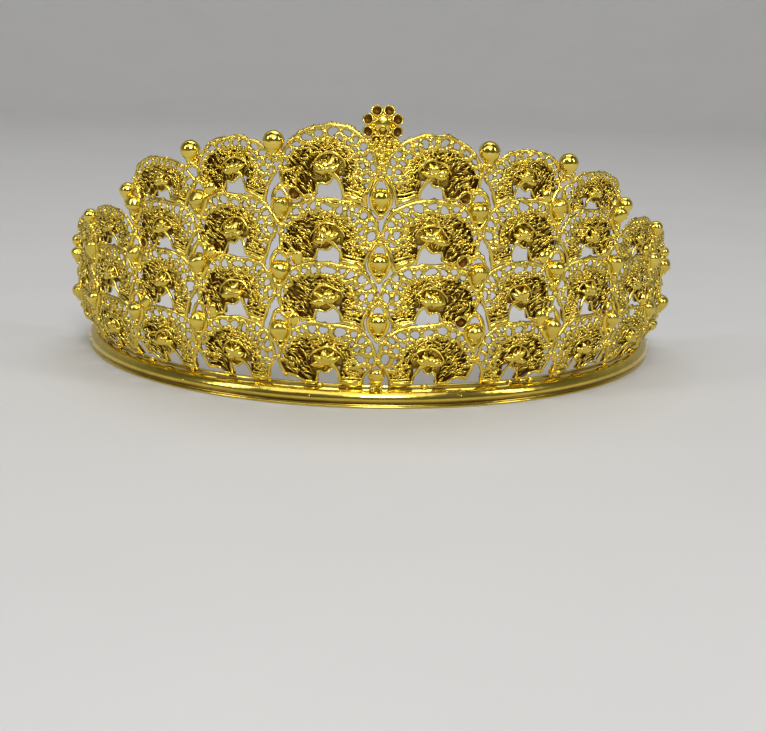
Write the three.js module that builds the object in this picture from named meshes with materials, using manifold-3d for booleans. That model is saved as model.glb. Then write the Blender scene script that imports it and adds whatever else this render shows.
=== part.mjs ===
// Gilt filigree tiara: a rounded base band that carries tiers of pierced fan plates,
// bead finials between the fans and a flower over the centre line.
// Every solid is drawn flat as u along the wall, v upwards and w outwards, then bent round the head.
import * as THREE from 'three';
import { mergeVertices } from 'three/addons/utils/BufferGeometryUtils.js';
import Module from 'manifold-3d';

const wasm = await Module();
wasm.setup();

// Base band
const BAND_RADIUS = 70;
const BAND_HALF_ANGLE = 97;
const BAND_STEPS = 28;
const STRIP_INNER_RADIUS = 66.4;
const STRIP_THICKNESS = 1.1;
const STRIP_HEIGHT = 4.4;
const MOULDING_TOP = 4.05;
const MOULDING_RIDGE = 1.75;
const LIP_HEIGHT = 0.6;
const LIP_SETBACK = 0.35;
const MOULDING_TURNS = [-50, -18, 18, 50];

// Wall of fans: it flares out from the band, then stands upright
const WALL_RADIUS = 71;
const WALL_FOOT = 4.75;
const FLARE = 3.2;
const FLARE_HEIGHT = 9;
const GAP = 0.34;
const PLATE_BACK = -0.5;

// Columns from the centre line to one end: outer edge in degrees, heights of the tiers' arch tops,
// how far the top fan is higher on the left and lower on the right, as the handmade piece has it,
// and the bead on the skyline by the outer edge: size as radius, height, distance past the edge
const COLUMNS = [
  { edge: 16.5, tops: [18.1, 30.2, 42.9, 56.5], uneven: 0.9, bead: { size: 2.15, height: 53.0, past: 0.75 } },
  { edge: 31.2, tops: [18.0, 30.4, 43.0, 53.5], uneven: 0.7, bead: { size: 2.05, height: 50.4, past: 1.05 } },
  { edge: 45.9, tops: [17.8, 30.1, 40.2, 48.5], uneven: 0.6, bead: { size: 1.75, height: 40.7, past: 1.65 } },
  { edge: 61.5, tops: [17.2, 28.4, 37.0], uneven: 0, bead: { size: 1.6, height: 33.6, past: 0.95 } },
  { edge: 75.0, tops: [15.6, 24.6, 32.3], uneven: 0, bead: { size: 1.45, height: 25.6, past: 1.4 } },
  { edge: 87.0, tops: [13.4, 21.3], uneven: 0 },
];

// Fan, with x as a share of its half width and v as a share of the tier's height.
// The arch is an ellipse at fullness 2 and has squarer shoulders above that.
const ARCH_RISE = 0.62;
const ARCH_STEPS = 8;
const TOP_FULLNESS = 2;
const LOWER_FULLNESS = 2.5;
const LOWEST_LEG = { knees: [[0.78, 0.2]], outer: 0.74 };
const UPPER_LEG = { knees: [[0.9, 0.27], [0.8, 0.1]], outer: 0.74 };
const WINDOW = { half: 0.25, crown: [[-0.13, 0.27], [0.18, 0.2]] };
const STUB_OUTER = 0.48;
const WING = [[0.6, 0.15], [0.93, 0.14]];
const BOSS = { radius: 0.26, x: 0.05, v: 0.45, forward: 0.8, depth: 0.46 };

// Piercings of the net between two rims, as middle and half span in degrees
const PIERCING_INNER = 0.62;
const PIERCING_OUTER = 0.87;
const PIERCINGS = [[27, 25], [90, 28], [153, 25]];

// Relief of the plate's front: it falls from the arch towards a plain rim
const RELIEF_HEART = 1.35;
const RELIEF_FALL = 0.75;
const RIM_FRONT = 0.95;
const RIM_SHARE = 0.95;

// Beads, with the stem's foot and the ball's rings as shares of the radius
const BEAD_FOOT = 0.36;
const BEAD_RINGS = [[1, -0.12], [0.76, 0.65]];
const BEAD_FORWARD = 0.9;
const SHOULDER_BEAD = { radius: 1.64, stem: 1.55, sides: 6, inset: 1.0, drop: 1.8 };
const SKYLINE_STEM = 1.15;
const SKYLINE_UNEVEN = 0.65;
const CENTRE_BEAD = { radius: 1.95, stem: 1.5, rise: 0.4 };
const LOWEST_BEAD = { radius: 1.7, stem: 1.3, height: 7.0 };
const BEAD_SIDES = 8;

// Flower
const FLOWER_HEIGHT = 57.2;
const FLOWER_DISC = { radius: 2.73, thickness: 1.3, sides: 8 };
const FLOWER_HEART = { radius: 1.33, forward: 0.65 };
const FLOWER_STEM = { top: 2.6, foot: 0.5, length: 4.4, drop: 3.8, sides: 6, depth: 0.45 };
const PETALS = { count: 8, radius: 1.09, reach: 2.81, forward: 0.2 };

// Gilt metal: the pierced work is a little deeper and duller than the plain band and beads
const BAND_GOLD = { color: 0xd9a823, roughness: 0.16 };
const FILIGREE_GOLD = { color: 0xcc9a1e, roughness: 0.24 };
const BEAD_GOLD = { color: 0xe0b02a, roughness: 0.12 };

const tiara = new THREE.Group();
tiara.name = 'filigree_tiara';

// Points this close are one, and slivers thinner than this go from joined solids
const SAME_POINT = 1e-4;
const SLIVER = 0.2;

const radians = (degrees) => (degrees * Math.PI) / 180;

function wallRadius(height) {
  const left = Math.max(0, 1 - Math.max(0, height - WALL_FOOT) / FLARE_HEIGHT);
  return WALL_RADIUS - FLARE * left * left;
}

// Closed solid from a geometry
function solidOf(geometry) {
  const bare = geometry.index ? geometry.toNonIndexed() : geometry.clone();
  bare.deleteAttribute('normal');
  bare.deleteAttribute('uv');
  const merged = mergeVertices(bare, SAME_POINT);
  const vertProperties = merged.attributes.position.array;
  const triVerts = new Uint32Array(merged.index.array);
  return new wasm.Manifold(new wasm.Mesh({ numProp: 3, vertProperties, triVerts }));
}

function geometryOf(solid) {
  const mesh = solid.getMesh();
  const geometry = new THREE.BufferGeometry();
  geometry.setAttribute('position', new THREE.BufferAttribute(new Float32Array(mesh.vertProperties), 3));
  geometry.setIndex(new THREE.BufferAttribute(new Uint32Array(mesh.triVerts), 1));
  return geometry;
}

function joined(geometries) {
  const solids = geometries.map(solidOf);
  return geometryOf(wasm.Manifold.union(solids).simplify(SLIVER));
}

// Each vertex of a flat piece moved by a function of u, v and w
function reshape(geometry, move) {
  const position = geometry.attributes.position;
  const point = new THREE.Vector3();
  for (let i = 0; i < position.count; i += 1) {
    point.fromBufferAttribute(position, i);
    move(point);
    position.setXYZ(i, point.x, point.y, point.z);
  }
  return geometry;
}

// Flat piece to the wall, centred on the front and facing -Y
function bentToWall(geometry, base) {
  return reshape(geometry, (p) => {
    const angle = p.x / WALL_RADIUS;
    const height = base + p.y;
    const radius = wallRadius(height) + p.z;
    p.set(radius * Math.sin(angle), -radius * Math.cos(angle), height);
  });
}

function addPiece(name, geometry, turn, look) {
  geometry.computeVertexNormals();
  const mesh = new THREE.Mesh(geometry, new THREE.MeshStandardMaterial({ metalness: 1, ...look }));
  mesh.name = name;
  mesh.rotation.z = radians(turn);
  tiara.add(mesh);
}

// Base band: flat strip inside, rounded moulding outside with its ridge low down, thin lip below
function bandGeometry() {
  const strip = STRIP_INNER_RADIUS + STRIP_THICKNESS;
  const reach = BAND_RADIUS - strip;
  const profile = new THREE.Shape();
  profile.moveTo(STRIP_INNER_RADIUS, 0);
  profile.lineTo(BAND_RADIUS - LIP_SETBACK, 0);
  profile.lineTo(BAND_RADIUS - LIP_SETBACK, LIP_HEIGHT);
  for (const degrees of MOULDING_TURNS) {
    const turn = radians(degrees);
    const rise = degrees > 0 ? MOULDING_TOP - MOULDING_RIDGE : MOULDING_RIDGE - LIP_HEIGHT;
    profile.lineTo(strip + reach * Math.cos(turn), MOULDING_RIDGE + rise * Math.sin(turn));
  }
  profile.lineTo(strip, MOULDING_TOP);
  profile.lineTo(strip, STRIP_HEIGHT);
  profile.lineTo(STRIP_INNER_RADIUS, STRIP_HEIGHT);
  const length = 2 * BAND_HALF_ANGLE;
  const bar = new THREE.ExtrudeGeometry(profile, { depth: length, steps: BAND_STEPS, bevelEnabled: false });
  return reshape(bar, (p) => {
    const turn = radians(BAND_HALF_ANGLE - p.z);
    p.set(p.x * Math.sin(turn), -p.x * Math.cos(turn), p.y);
  });
}

// Fan plate: an arch on a broad leg beside the centre line and a stub foot under the outer wing,
// with a window between the feet and piercings between the rims.
// Its feet follow the arch of the fan below, which rises by lowerRise, or stand flat where that is 0.
function fanPlate(half, height, lowerRise, side, fullness) {
  const rise = ARCH_RISE * height;
  const spring = height - rise;
  const fall = (x) => 1 - (1 - Math.abs(x) ** LOWER_FULLNESS) ** (1 / LOWER_FULLNESS);
  const below = (x) => (lowerRise === 0 ? 0 : GAP - lowerRise * fall(x));
  const at = (x, v) => new THREE.Vector2(side * x * half, v);
  const foot = (x) => at(x, below(x));
  const full = (value) => Math.sign(value) * Math.abs(value) ** (2 / fullness);
  const arch = (degrees, share) => {
    const turn = radians(degrees);
    return at(share * full(Math.cos(turn)), spring + share * rise * full(Math.sin(turn)));
  };
  const leg = lowerRise === 0 ? LOWEST_LEG : UPPER_LEG;
  const outline = [];
  for (let step = 0; step <= ARCH_STEPS; step += 1) {
    outline.push(arch((180 * step) / ARCH_STEPS, 1));
  }
  for (const [x, v] of leg.knees) {
    outline.push(at(-x, v * height));
  }
  outline.push(foot(-leg.outer));
  outline.push(foot(-WINDOW.half));
  for (const [x, v] of WINDOW.crown) {
    outline.push(at(x, v * height));
  }
  outline.push(foot(WINDOW.half));
  outline.push(foot(STUB_OUTER));
  for (const [x, v] of WING) {
    outline.push(at(x, v * height));
  }
  const ordered = (points) => (side === 1 ? points : points.reverse());
  const shape = new THREE.Shape(ordered(outline));
  for (const [middle, span] of PIERCINGS) {
    const hole = [-1, 1].map((step) => arch(middle + step * span, PIERCING_OUTER));
    for (const step of [1, -1]) {
      hole.push(arch(middle + step * span, PIERCING_INNER));
    }
    shape.holes.push(new THREE.Path(ordered(hole)));
  }
  const plate = new THREE.ExtrudeGeometry(shape, { depth: 1, steps: 1, bevelEnabled: false });
  return reshape(plate, (p) => {
    const across = Math.abs(p.x / half) ** fullness;
    const up = (Math.max(0, p.y - spring) / rise) ** fullness;
    const share = (across + up) ** (1 / fullness);
    const front = share > RIM_SHARE ? RIM_FRONT : RELIEF_HEART - RELIEF_FALL * share;
    p.z = p.z > 0 ? front : PLATE_BACK;
  });
}

function ball(radius, u, v, w) {
  return new THREE.IcosahedronGeometry(radius).translate(u, v, w);
}

// Bead: a ball on a short tapered stem, whose length counts from the ball's middle
function bead({ radius, stem, sides = BEAD_SIDES }, u, v) {
  const rings = [[0, -stem], [BEAD_FOOT, -stem], ...BEAD_RINGS, [0, 1]];
  const profile = rings.map(([wide, high]) => new THREE.Vector2(wide * radius, high * radius));
  return new THREE.LatheGeometry(profile, sides).translate(u, v, BEAD_FORWARD);
}

addPiece('base_band', bandGeometry(), 0, BAND_GOLD);

// Columns of fans on both sides, each with the bead at its outer shoulder, and the skyline beads
COLUMNS.forEach((column, index) => {
  const start = index === 0 ? 0 : COLUMNS[index - 1].edge;
  const half = (WALL_RADIUS * radians(column.edge - start)) / 2 - GAP / 2;
  const turn = (column.edge + start) / 2;
  const last = column.tops.length - 1;
  for (const [name, side] of [['right', 1], ['left', -1]]) {
    let base = WALL_FOOT;
    let lowerRise = 0;
    column.tops.forEach((level, tier) => {
      const crest = tier === last ? level - side * column.uneven : level;
      const height = crest - base;
      const fullness = tier === last ? TOP_FULLNESS : LOWER_FULLNESS;
      const pieces = [fanPlate(half, height, lowerRise, side, fullness)];
      const boss = ball(BOSS.radius * half, 0, 0, 0).scale(1, 1, BOSS.depth);
      pieces.push(boss.translate(side * BOSS.x * half, BOSS.v * height, BOSS.forward));
      if (column.bead && tier < last) {
        const u = side * (half - SHOULDER_BEAD.inset);
        pieces.push(bead(SHOULDER_BEAD, u, height - SHOULDER_BEAD.drop));
      }
      const geometry = bentToWall(joined(pieces), base);
      addPiece(`fan_${name}_${index + 1}_tier_${tier + 1}`, geometry, side * turn, FILIGREE_GOLD);
      base = crest;
      lowerRise = ARCH_RISE * height;
    });
    if (column.bead) {
      const solid = bead({ radius: column.bead.size, stem: SKYLINE_STEM }, side * column.bead.past, 0);
      const height = column.bead.height - side * SKYLINE_UNEVEN * column.uneven;
      addPiece(`top_bead_${name}_${index + 1}`, bentToWall(solid, height), side * column.edge, BEAD_GOLD);
    }
  }
});

// Beads up the centre line
addPiece('centre_bead_1', bentToWall(bead(LOWEST_BEAD, 0, 0), LOWEST_BEAD.height), 0, BEAD_GOLD);
COLUMNS[0].tops.slice(0, -1).forEach((level, tier) => {
  const solid = bentToWall(bead(CENTRE_BEAD, 0, 0), level + CENTRE_BEAD.rise);
  addPiece(`centre_bead_${tier + 2}`, solid, 0, BEAD_GOLD);
});

// Flower over the centre: petals round a disc with a domed heart, on a wedge between the fans
function flowerGeometry() {
  const { radius, thickness, sides } = FLOWER_DISC;
  const { top, foot, length, drop, depth } = FLOWER_STEM;
  const stem = new THREE.CylinderGeometry(top, foot, length, FLOWER_STEM.sides);
  const pieces = [
    new THREE.CylinderGeometry(radius, radius, thickness, sides).rotateX(Math.PI / 2),
    ball(FLOWER_HEART.radius, 0, 0, FLOWER_HEART.forward),
    stem.scale(1, 1, depth).translate(0, -drop, 0),
  ];
  for (let petal = 0; petal < PETALS.count; petal += 1) {
    const turn = (2 * Math.PI * (petal + 0.5)) / PETALS.count;
    const u = PETALS.reach * Math.cos(turn);
    const v = PETALS.reach * Math.sin(turn);
    pieces.push(ball(PETALS.radius, u, v, PETALS.forward));
  }
  return joined(pieces);
}
addPiece('flower_finial', bentToWall(flowerGeometry(), FLOWER_HEIGHT), 0, FILIGREE_GOLD);

// Underside on the ground, footprint centred
const box = new THREE.Box3().setFromObject(tiara, true);
const centre = box.getCenter(new THREE.Vector3());
for (const piece of tiara.children) {
  piece.position.set(-centre.x, -centre.y, -box.min.z);
}

export default tiara;
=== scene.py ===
"""Looks of the gilt filigree tiara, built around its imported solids.

Fans, beads and flower are drawn flat in millimetres, as u along the wall, v up and w outwards,
and are then bent round the head as the solids are.
"""
import math

import bpy
import numpy as np
from mathutils import Matrix, Vector
from mathutils.geometry import delaunay_2d_cdt


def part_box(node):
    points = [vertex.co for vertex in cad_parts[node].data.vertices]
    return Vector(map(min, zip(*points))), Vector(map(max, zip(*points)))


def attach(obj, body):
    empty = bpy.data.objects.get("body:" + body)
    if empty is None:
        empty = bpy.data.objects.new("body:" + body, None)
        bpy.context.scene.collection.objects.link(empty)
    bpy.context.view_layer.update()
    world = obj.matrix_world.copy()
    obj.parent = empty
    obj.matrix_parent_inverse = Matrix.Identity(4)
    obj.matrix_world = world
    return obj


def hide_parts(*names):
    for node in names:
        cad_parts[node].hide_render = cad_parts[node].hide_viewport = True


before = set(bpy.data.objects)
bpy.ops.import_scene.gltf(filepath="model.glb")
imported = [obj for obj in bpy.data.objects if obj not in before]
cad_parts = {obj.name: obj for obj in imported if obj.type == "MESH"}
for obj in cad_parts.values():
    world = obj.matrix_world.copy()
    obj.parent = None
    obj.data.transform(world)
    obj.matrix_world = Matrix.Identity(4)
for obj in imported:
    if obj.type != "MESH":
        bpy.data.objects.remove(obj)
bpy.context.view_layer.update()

MM = 0.001

# Base band, as in the solids
BAND_RADIUS = 70.0
BAND_HALF_ANGLE = 97.0
STRIP_INNER = 66.4
STRIP_OUTER = 67.5
STRIP_HEIGHT = 4.4
MOULDING_TOP = 4.05
MOULDING_RIDGE = 1.75
RIDGE_FACET = 18.0
LIP_HEIGHT = 0.6
LIP_SETBACK = 0.35

# Wall of fans, as in the solids. A column's bead is its radius, height and distance past the edge
WALL_RADIUS = 71.0
WALL_FOOT = 4.75
FLARE = 3.2
FLARE_HEIGHT = 9.0
GAP = 0.34
COLUMNS = (
    {"edge": 16.5, "tops": (18.1, 30.2, 42.9, 56.5), "uneven": 0.9, "bead": (2.15, 53.0, 0.75)},
    {"edge": 31.2, "tops": (18.0, 30.4, 43.0, 53.5), "uneven": 0.7, "bead": (2.05, 50.4, 1.05)},
    {"edge": 45.9, "tops": (17.8, 30.1, 40.2, 48.5), "uneven": 0.6, "bead": (1.75, 40.7, 1.65)},
    {"edge": 61.5, "tops": (17.2, 28.4, 37.0), "uneven": 0.0, "bead": (1.6, 33.6, 0.95)},
    {"edge": 75.0, "tops": (15.6, 24.6, 32.3), "uneven": 0.0, "bead": (1.45, 25.6, 1.4)},
    {"edge": 87.0, "tops": (13.4, 21.3), "uneven": 0.0, "bead": None},
)
SIDES = (("right", 1), ("left", -1))
SKYLINE_UNEVEN = 0.65
ARCH_RISE = 0.62
TOP_FULLNESS = 2.0
LOWER_FULLNESS = 2.5
LEG_OUTER = 0.74
WINDOW_HALF = 0.24
STUB_OUTER = 0.48
BEAD_FORWARD = 0.9
SHOULDER_BEAD = {"radius": 1.9, "inset": 0.5, "drop": 1.8}
CENTRE_BEAD = {"radius": 1.9, "rise": 0.4}
LOWEST_BEAD = {"radius": 1.75, "height": 7.0}
FLOWER_HEIGHT = 57.2

band_low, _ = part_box("base_band")
FRONT_FACET = STRIP_OUTER + (BAND_RADIUS - STRIP_OUTER) * math.cos(math.radians(RIDGE_FACET))
CENTRE_Y = band_low[1] / MM + FRONT_FACET


# Mesh pieces

# A tube's rounded end, as shares of its radius: how far the last ring stands out, its width, and the tip
END_STEP = 0.6
END_WIDTH = 0.72
END_TIP = 0.35
BLUNT_TIP = 0.3

# A bead's ball down to where the stem leaves it, in degrees, then collar and stem in shares of its radius
BALL_END = -48
BALL_RINGS = 15
BEAD_SIDES = 24
COLLAR = ((0.5, -1.0), (0.4, -1.12), (0.46, -1.17), (0.46, -1.24))
STEM = {"radius": 0.36, "length": 1.3}


class Shells:
    """Closed shells gathered into one mesh, each vertex with a painted shade value, which darkens its colour
    toward brown to stand in for shade.
    """

    def __init__(self):
        self.points = []
        self.faces = []
        self.painted_shade = []
        self.count = 0

    def add(self, points, faces, painted_shade=0.0):
        points = np.asarray(points, float)
        self.points.append(points)
        self.faces.extend([tuple(i + self.count for i in face) for face in faces])
        self.painted_shade.append(np.broadcast_to(painted_shade, len(points)))
        self.count += len(points)

    def arrays(self):
        return np.concatenate(self.points), self.faces, np.concatenate(self.painted_shade)


def ramp(value, start, end):
    """0 before the start, 1 past the end, straight between them."""
    return np.clip((value - start) / (end - start), 0, 1)


def ring_faces(rings, sides, wrap=True):
    """Quads between neighbouring rings of points."""
    faces = []
    last = sides if wrap else sides - 1
    for r in range(rings - 1):
        for s in range(last):
            t = (s + 1) % sides
            faces.append((r * sides + s, r * sides + t, (r + 1) * sides + t, (r + 1) * sides + s))
    return faces


def capped_faces(rings, sides):
    """Faces of a row of rings, closed round two tips that follow the rings' points."""
    faces = ring_faces(rings, sides)
    top = (rings - 1) * sides
    for s in range(sides):
        t = (s + 1) % sides
        faces.append((rings * sides, t, s))
        faces.append((rings * sides + 1, top + s, top + t))
    return faces


def tube(shells, path, radius, sides=6, painted_shade=0.0, flat=1.0, blunt=False):
    """Closed tube along a path, with rounded ends unless blunt. flat scales it along w."""
    path = np.asarray(path, float)
    radius = np.broadcast_to(np.asarray(radius, float), len(path))
    step = np.gradient(path, axis=0)
    step /= np.maximum(np.linalg.norm(step, axis=1), 1e-9)[:, None]
    line, along, wide, tip = path, step, radius, BLUNT_TIP
    if not blunt:
        start = path[0] - step[0] * radius[0] * END_STEP
        end = path[-1] + step[-1] * radius[-1] * END_STEP
        line = np.vstack([start, path, end])
        along = np.vstack([step[:1], step, step[-1:]])
        wide = np.concatenate([radius[:1] * END_WIDTH, radius, radius[-1:] * END_WIDTH])
        tip = END_TIP
    first = line[0] - step[0] * radius[0] * tip
    final = line[-1] + step[-1] * radius[-1] * tip
    across = np.cross(along, (0.0, 0.0, 1.0))
    weak = np.linalg.norm(across, axis=1) < 1e-3
    across[weak] = (1.0, 0.0, 0.0)
    across /= np.linalg.norm(across, axis=1)[:, None]
    up = np.cross(across, along)
    turn = np.arange(sides) * 2 * math.pi / sides
    ring = across[:, None, :] * np.cos(turn)[None, :, None]
    ring = ring + up[:, None, :] * np.sin(turn)[None, :, None] * flat
    points = (line[:, None, :] + ring * wide[:, None, None]).reshape(-1, 3)
    shells.add(np.vstack([points, first, final]), capped_faces(len(line), sides), painted_shade)


def lathe(shells, profile, centre, axis="v", sides=24, painted_shade=0.0, lean=None):
    """Closed turned shape: a profile of (radius, height) that starts and ends on the axis.
    The painted shade is one value, or one for each point of the profile."""
    profile = np.asarray(profile, float)
    turn = np.arange(sides) * 2 * math.pi / sides
    body = profile[1:-1]
    ring_a = body[:, 0][:, None] * np.cos(turn)[None, :]
    ring_b = body[:, 0][:, None] * np.sin(turn)[None, :]
    ring_h = np.repeat(body[:, 1][:, None], sides, axis=1)
    a = np.concatenate([ring_a.ravel(), [0.0, 0.0]])
    b = np.concatenate([ring_b.ravel(), [0.0, 0.0]])
    h = np.concatenate([ring_h.ravel(), [profile[0, 1], profile[-1, 1]]])
    points = np.stack([b, h, a] if axis == "v" else [a, b, h], -1)
    if lean is not None:
        points = points @ np.array(lean).T
    if np.ndim(painted_shade):
        marks = np.asarray(painted_shade, float)
        painted_shade = np.concatenate([np.repeat(marks[1:-1], sides), [marks[0], marks[-1]]])
    shells.add(points + np.asarray(centre, float), capped_faces(len(body), sides), painted_shade)


def ball(shells, centre, radius, sides=10, rings=6, painted_shade=0.0, stretch=(1, 1, 1)):
    """Closed ball about a point, stretched along u, v and w."""
    turn = np.linspace(-math.pi / 2, math.pi / 2, rings + 1)
    profile = np.stack([np.cos(turn), np.sin(turn)], -1)
    profile[0, 0] = profile[-1, 0] = 0.0
    one = Shells()
    lathe(one, profile, (0, 0, 0), sides=sides)
    points, faces, _ = one.arrays()
    shells.add(points * radius * np.asarray(stretch) + np.asarray(centre), faces, painted_shade)


def bead(shells, centre, radius):
    """Polished pear: a ball that runs down into a short stem with a collar."""
    turns = np.radians(np.linspace(90, BALL_END, BALL_RINGS))
    profile = [(0.0, 1.0)]
    profile += [(math.cos(t), math.sin(t)) for t in turns[1:]]
    profile += COLLAR
    profile += [(STEM["radius"], -STEM["length"]), (0.0, -STEM["length"])]
    lathe(shells, np.array(profile[::-1]) * radius, centre, sides=BEAD_SIDES)


def slab(shells, front, back, painted_shade):
    """Closed plate between two grids of points of the same shape, with a painted shade value for each of
    them.
    """
    rows, cols = front.shape[:2]
    points = np.vstack([front.reshape(-1, 3), back.reshape(-1, 3)])
    half = rows * cols
    faces = ring_faces(rows, cols, wrap=False)
    faces += [tuple(half + i for i in reversed(face)) for face in ring_faces(rows, cols, wrap=False)]
    edge = [(0, c) for c in range(cols)]
    edge += [(r, cols - 1) for r in range(1, rows)]
    edge += [(rows - 1, c) for c in range(cols - 2, -1, -1)]
    edge += [(r, 0) for r in range(rows - 2, 0, -1)]
    for (r, c), (q, d) in zip(edge, edge[1:] + edge[:1]):
        i, j = r * cols + c, q * cols + d
        faces.append((j, i, half + i, half + j))
    shells.add(points, faces, np.repeat(painted_shade, half))


def level(u, v, w):
    """Points of a line or grid drawn at one height over the wall, or at one for each."""
    return np.stack([u, v, np.broadcast_to(np.asarray(w, float), np.shape(u))], -1)


def on_wall(points, base, turn):
    """Flat points in millimetres to their place on the wall, in metres."""
    angle = math.radians(turn) + points[:, 0] / WALL_RADIUS
    height = base + points[:, 1]
    left = np.clip(1 - np.clip(height - WALL_FOOT, 0, None) / FLARE_HEIGHT, 0, None)
    radius = WALL_RADIUS - FLARE * left**2 + points[:, 2]
    x, y = radius * np.sin(angle), CENTRE_Y - radius * np.cos(angle)
    return np.stack([x, y, height], -1) * MM


def piece(name, points, faces, painted_shade, material, node):
    """Smooth mesh object that stands in for one node of the solids."""
    mesh = bpy.data.meshes.new(name)
    mesh.from_pydata(points.tolist(), [], faces)
    mesh.polygons.foreach_set("use_smooth", np.ones(len(mesh.polygons), bool))
    # Painted shade: each vertex's value darkens its colour toward brown in the material.
    mark = mesh.attributes.new("painted_shade", "FLOAT", "POINT")
    mark.data.foreach_set("value", np.asarray(painted_shade, np.float32))
    mesh.materials.append(material)
    mesh.update()
    made = bpy.data.objects.new(name, mesh)
    bpy.context.scene.collection.objects.link(made)
    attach(made, "root")
    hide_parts(node)


# Materials, with noise scales as waves in a metre and depths in metres

# The cloud's share is random staining, added to the painted shade.
CLOUD = {"scale": 260.0, "detail": 4.0, "from": 0.35, "to": 0.75, "shade_and_stain": 0.22}
SHADE_AND_STAIN_DULLS = 0.3
DENT = {"scale": 520.0, "detail": 1.0, "depth": 0.0006}
SCRATCH = {"detail": 3.0, "depth": 0.0001}


def noise(tree, place, scale, detail):
    """Noise over the piece's own coordinates."""
    texture = tree.nodes.new("ShaderNodeTexNoise")
    texture.inputs["Scale"].default_value = scale
    texture.inputs["Detail"].default_value = detail
    tree.links.new(place.outputs["Object"], texture.inputs["Vector"])
    return texture.outputs["Fac"]


def bump(tree, height, strength, depth):
    made = tree.nodes.new("ShaderNodeBump")
    made.inputs["Strength"].default_value = strength
    made.inputs["Distance"].default_value = depth
    tree.links.new(height, made.inputs["Height"])
    return made


def gold(name, bright, shade_and_stain_colour, rough, grain, scratch, dents):
    """Gilt metal: bright and polished where it stands proud, darkened toward brown and duller by painted
    shade in the recesses and by random stain patches, with fine wear.
    """
    material = bpy.data.materials.new(name)
    material.use_nodes = True
    tree = material.node_tree
    nodes, links = tree.nodes, tree.links
    shader = nodes["Principled BSDF"]
    shader.inputs["Metallic"].default_value = 1.0
    place = nodes.new("ShaderNodeTexCoord")
    mark = nodes.new("ShaderNodeAttribute")
    mark.attribute_name = "painted_shade"
    patch = nodes.new("ShaderNodeMapRange")
    patch.inputs["From Min"].default_value = CLOUD["from"]
    patch.inputs["From Max"].default_value = CLOUD["to"]
    patch.inputs["To Min"].default_value = 0.0
    patch.inputs["To Max"].default_value = CLOUD["shade_and_stain"]
    links.new(noise(tree, place, CLOUD["scale"], CLOUD["detail"]), patch.inputs["Value"])
    # Painted shade from the vertex value, plus random stain patches from the cloud.
    shade_and_stain = nodes.new("ShaderNodeMath")
    shade_and_stain.operation = "ADD"
    shade_and_stain.use_clamp = True
    links.new(mark.outputs["Fac"], shade_and_stain.inputs[0])
    links.new(patch.outputs["Result"], shade_and_stain.inputs[1])
    colour = nodes.new("ShaderNodeMix")
    colour.data_type = "RGBA"
    colour.inputs["A"].default_value = (*bright, 1)
    colour.inputs["B"].default_value = (*shade_and_stain_colour, 1)
    links.new(shade_and_stain.outputs[0], colour.inputs["Factor"])
    links.new(colour.outputs["Result"], shader.inputs["Base Color"])
    dull = nodes.new("ShaderNodeMapRange")
    dull.inputs["To Min"].default_value = rough
    dull.inputs["To Max"].default_value = rough + SHADE_AND_STAIN_DULLS
    links.new(shade_and_stain.outputs[0], dull.inputs["Value"])
    links.new(dull.outputs["Result"], shader.inputs["Roughness"])
    hollow = bump(tree, noise(tree, place, DENT["scale"], DENT["detail"]), dents, DENT["depth"])
    fine = bump(tree, noise(tree, place, grain, SCRATCH["detail"]), scratch, SCRATCH["depth"])
    links.new(hollow.outputs["Normal"], fine.inputs["Normal"])
    links.new(fine.outputs["Normal"], shader.inputs["Normal"])
    return material


# The second colour of each is the brown that painted shade and stains darken toward.
FILIGREE = gold("filigree_gold", (0.88, 0.68, 0.115), (0.13, 0.058, 0.008), 0.17, 2600.0, 0.25, 0.35)
POLISHED = gold("polished_gold", (0.9, 0.7, 0.12), (0.20, 0.09, 0.012), 0.1, 1500.0, 0.06, 0.25)
BAND_GOLD = gold("band_gold", (0.8, 0.61, 0.1), (0.16, 0.07, 0.009), 0.13, 900.0, 0.08, 0.08)


# One fan: turns in degrees, rims as shares of the way to its edge, sizes for a fan of the reference area

LEG_SPAN = 60.0
INNER_RIM = 0.30
SECOND_RIM = 0.33
OUTER_RIM = 0.965
NET_EDGE = 0.95
REFERENCE_AREA = 10.05 * 12.9
CROWN_STRETCH = 0.15
WING = {"from": 0.5, "to": 0.6, "step": 0.12, "spread": 0.83, "lift": 0.09, "bow": 0.35}
GARLAND = {"inside": 0.32, "beside": 0.26, "outside": 0.93, "leg": 0.95, "wing": 0.14}


def smooth(rows, count):
    """Rows of numbers filled in by a curve through them."""
    rows = np.asarray(rows, float)
    ends = np.vstack([2 * rows[0] - rows[1], rows, 2 * rows[-1] - rows[-2]])
    place = np.linspace(0, len(rows) - 1, count)
    i = np.minimum(place.astype(int), len(rows) - 2)
    t = (place - i)[:, None]
    p0, p1, p2, p3 = ends[i], ends[i + 1], ends[i + 2], ends[i + 3]
    square = 2 * p0 - 5 * p1 + 4 * p2 - p3
    cube = 3 * p1 - p0 - 3 * p2 + p3
    return 0.5 * (2 * p1 + (p2 - p0) * t + square * t**2 + cube * t**3)


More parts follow.
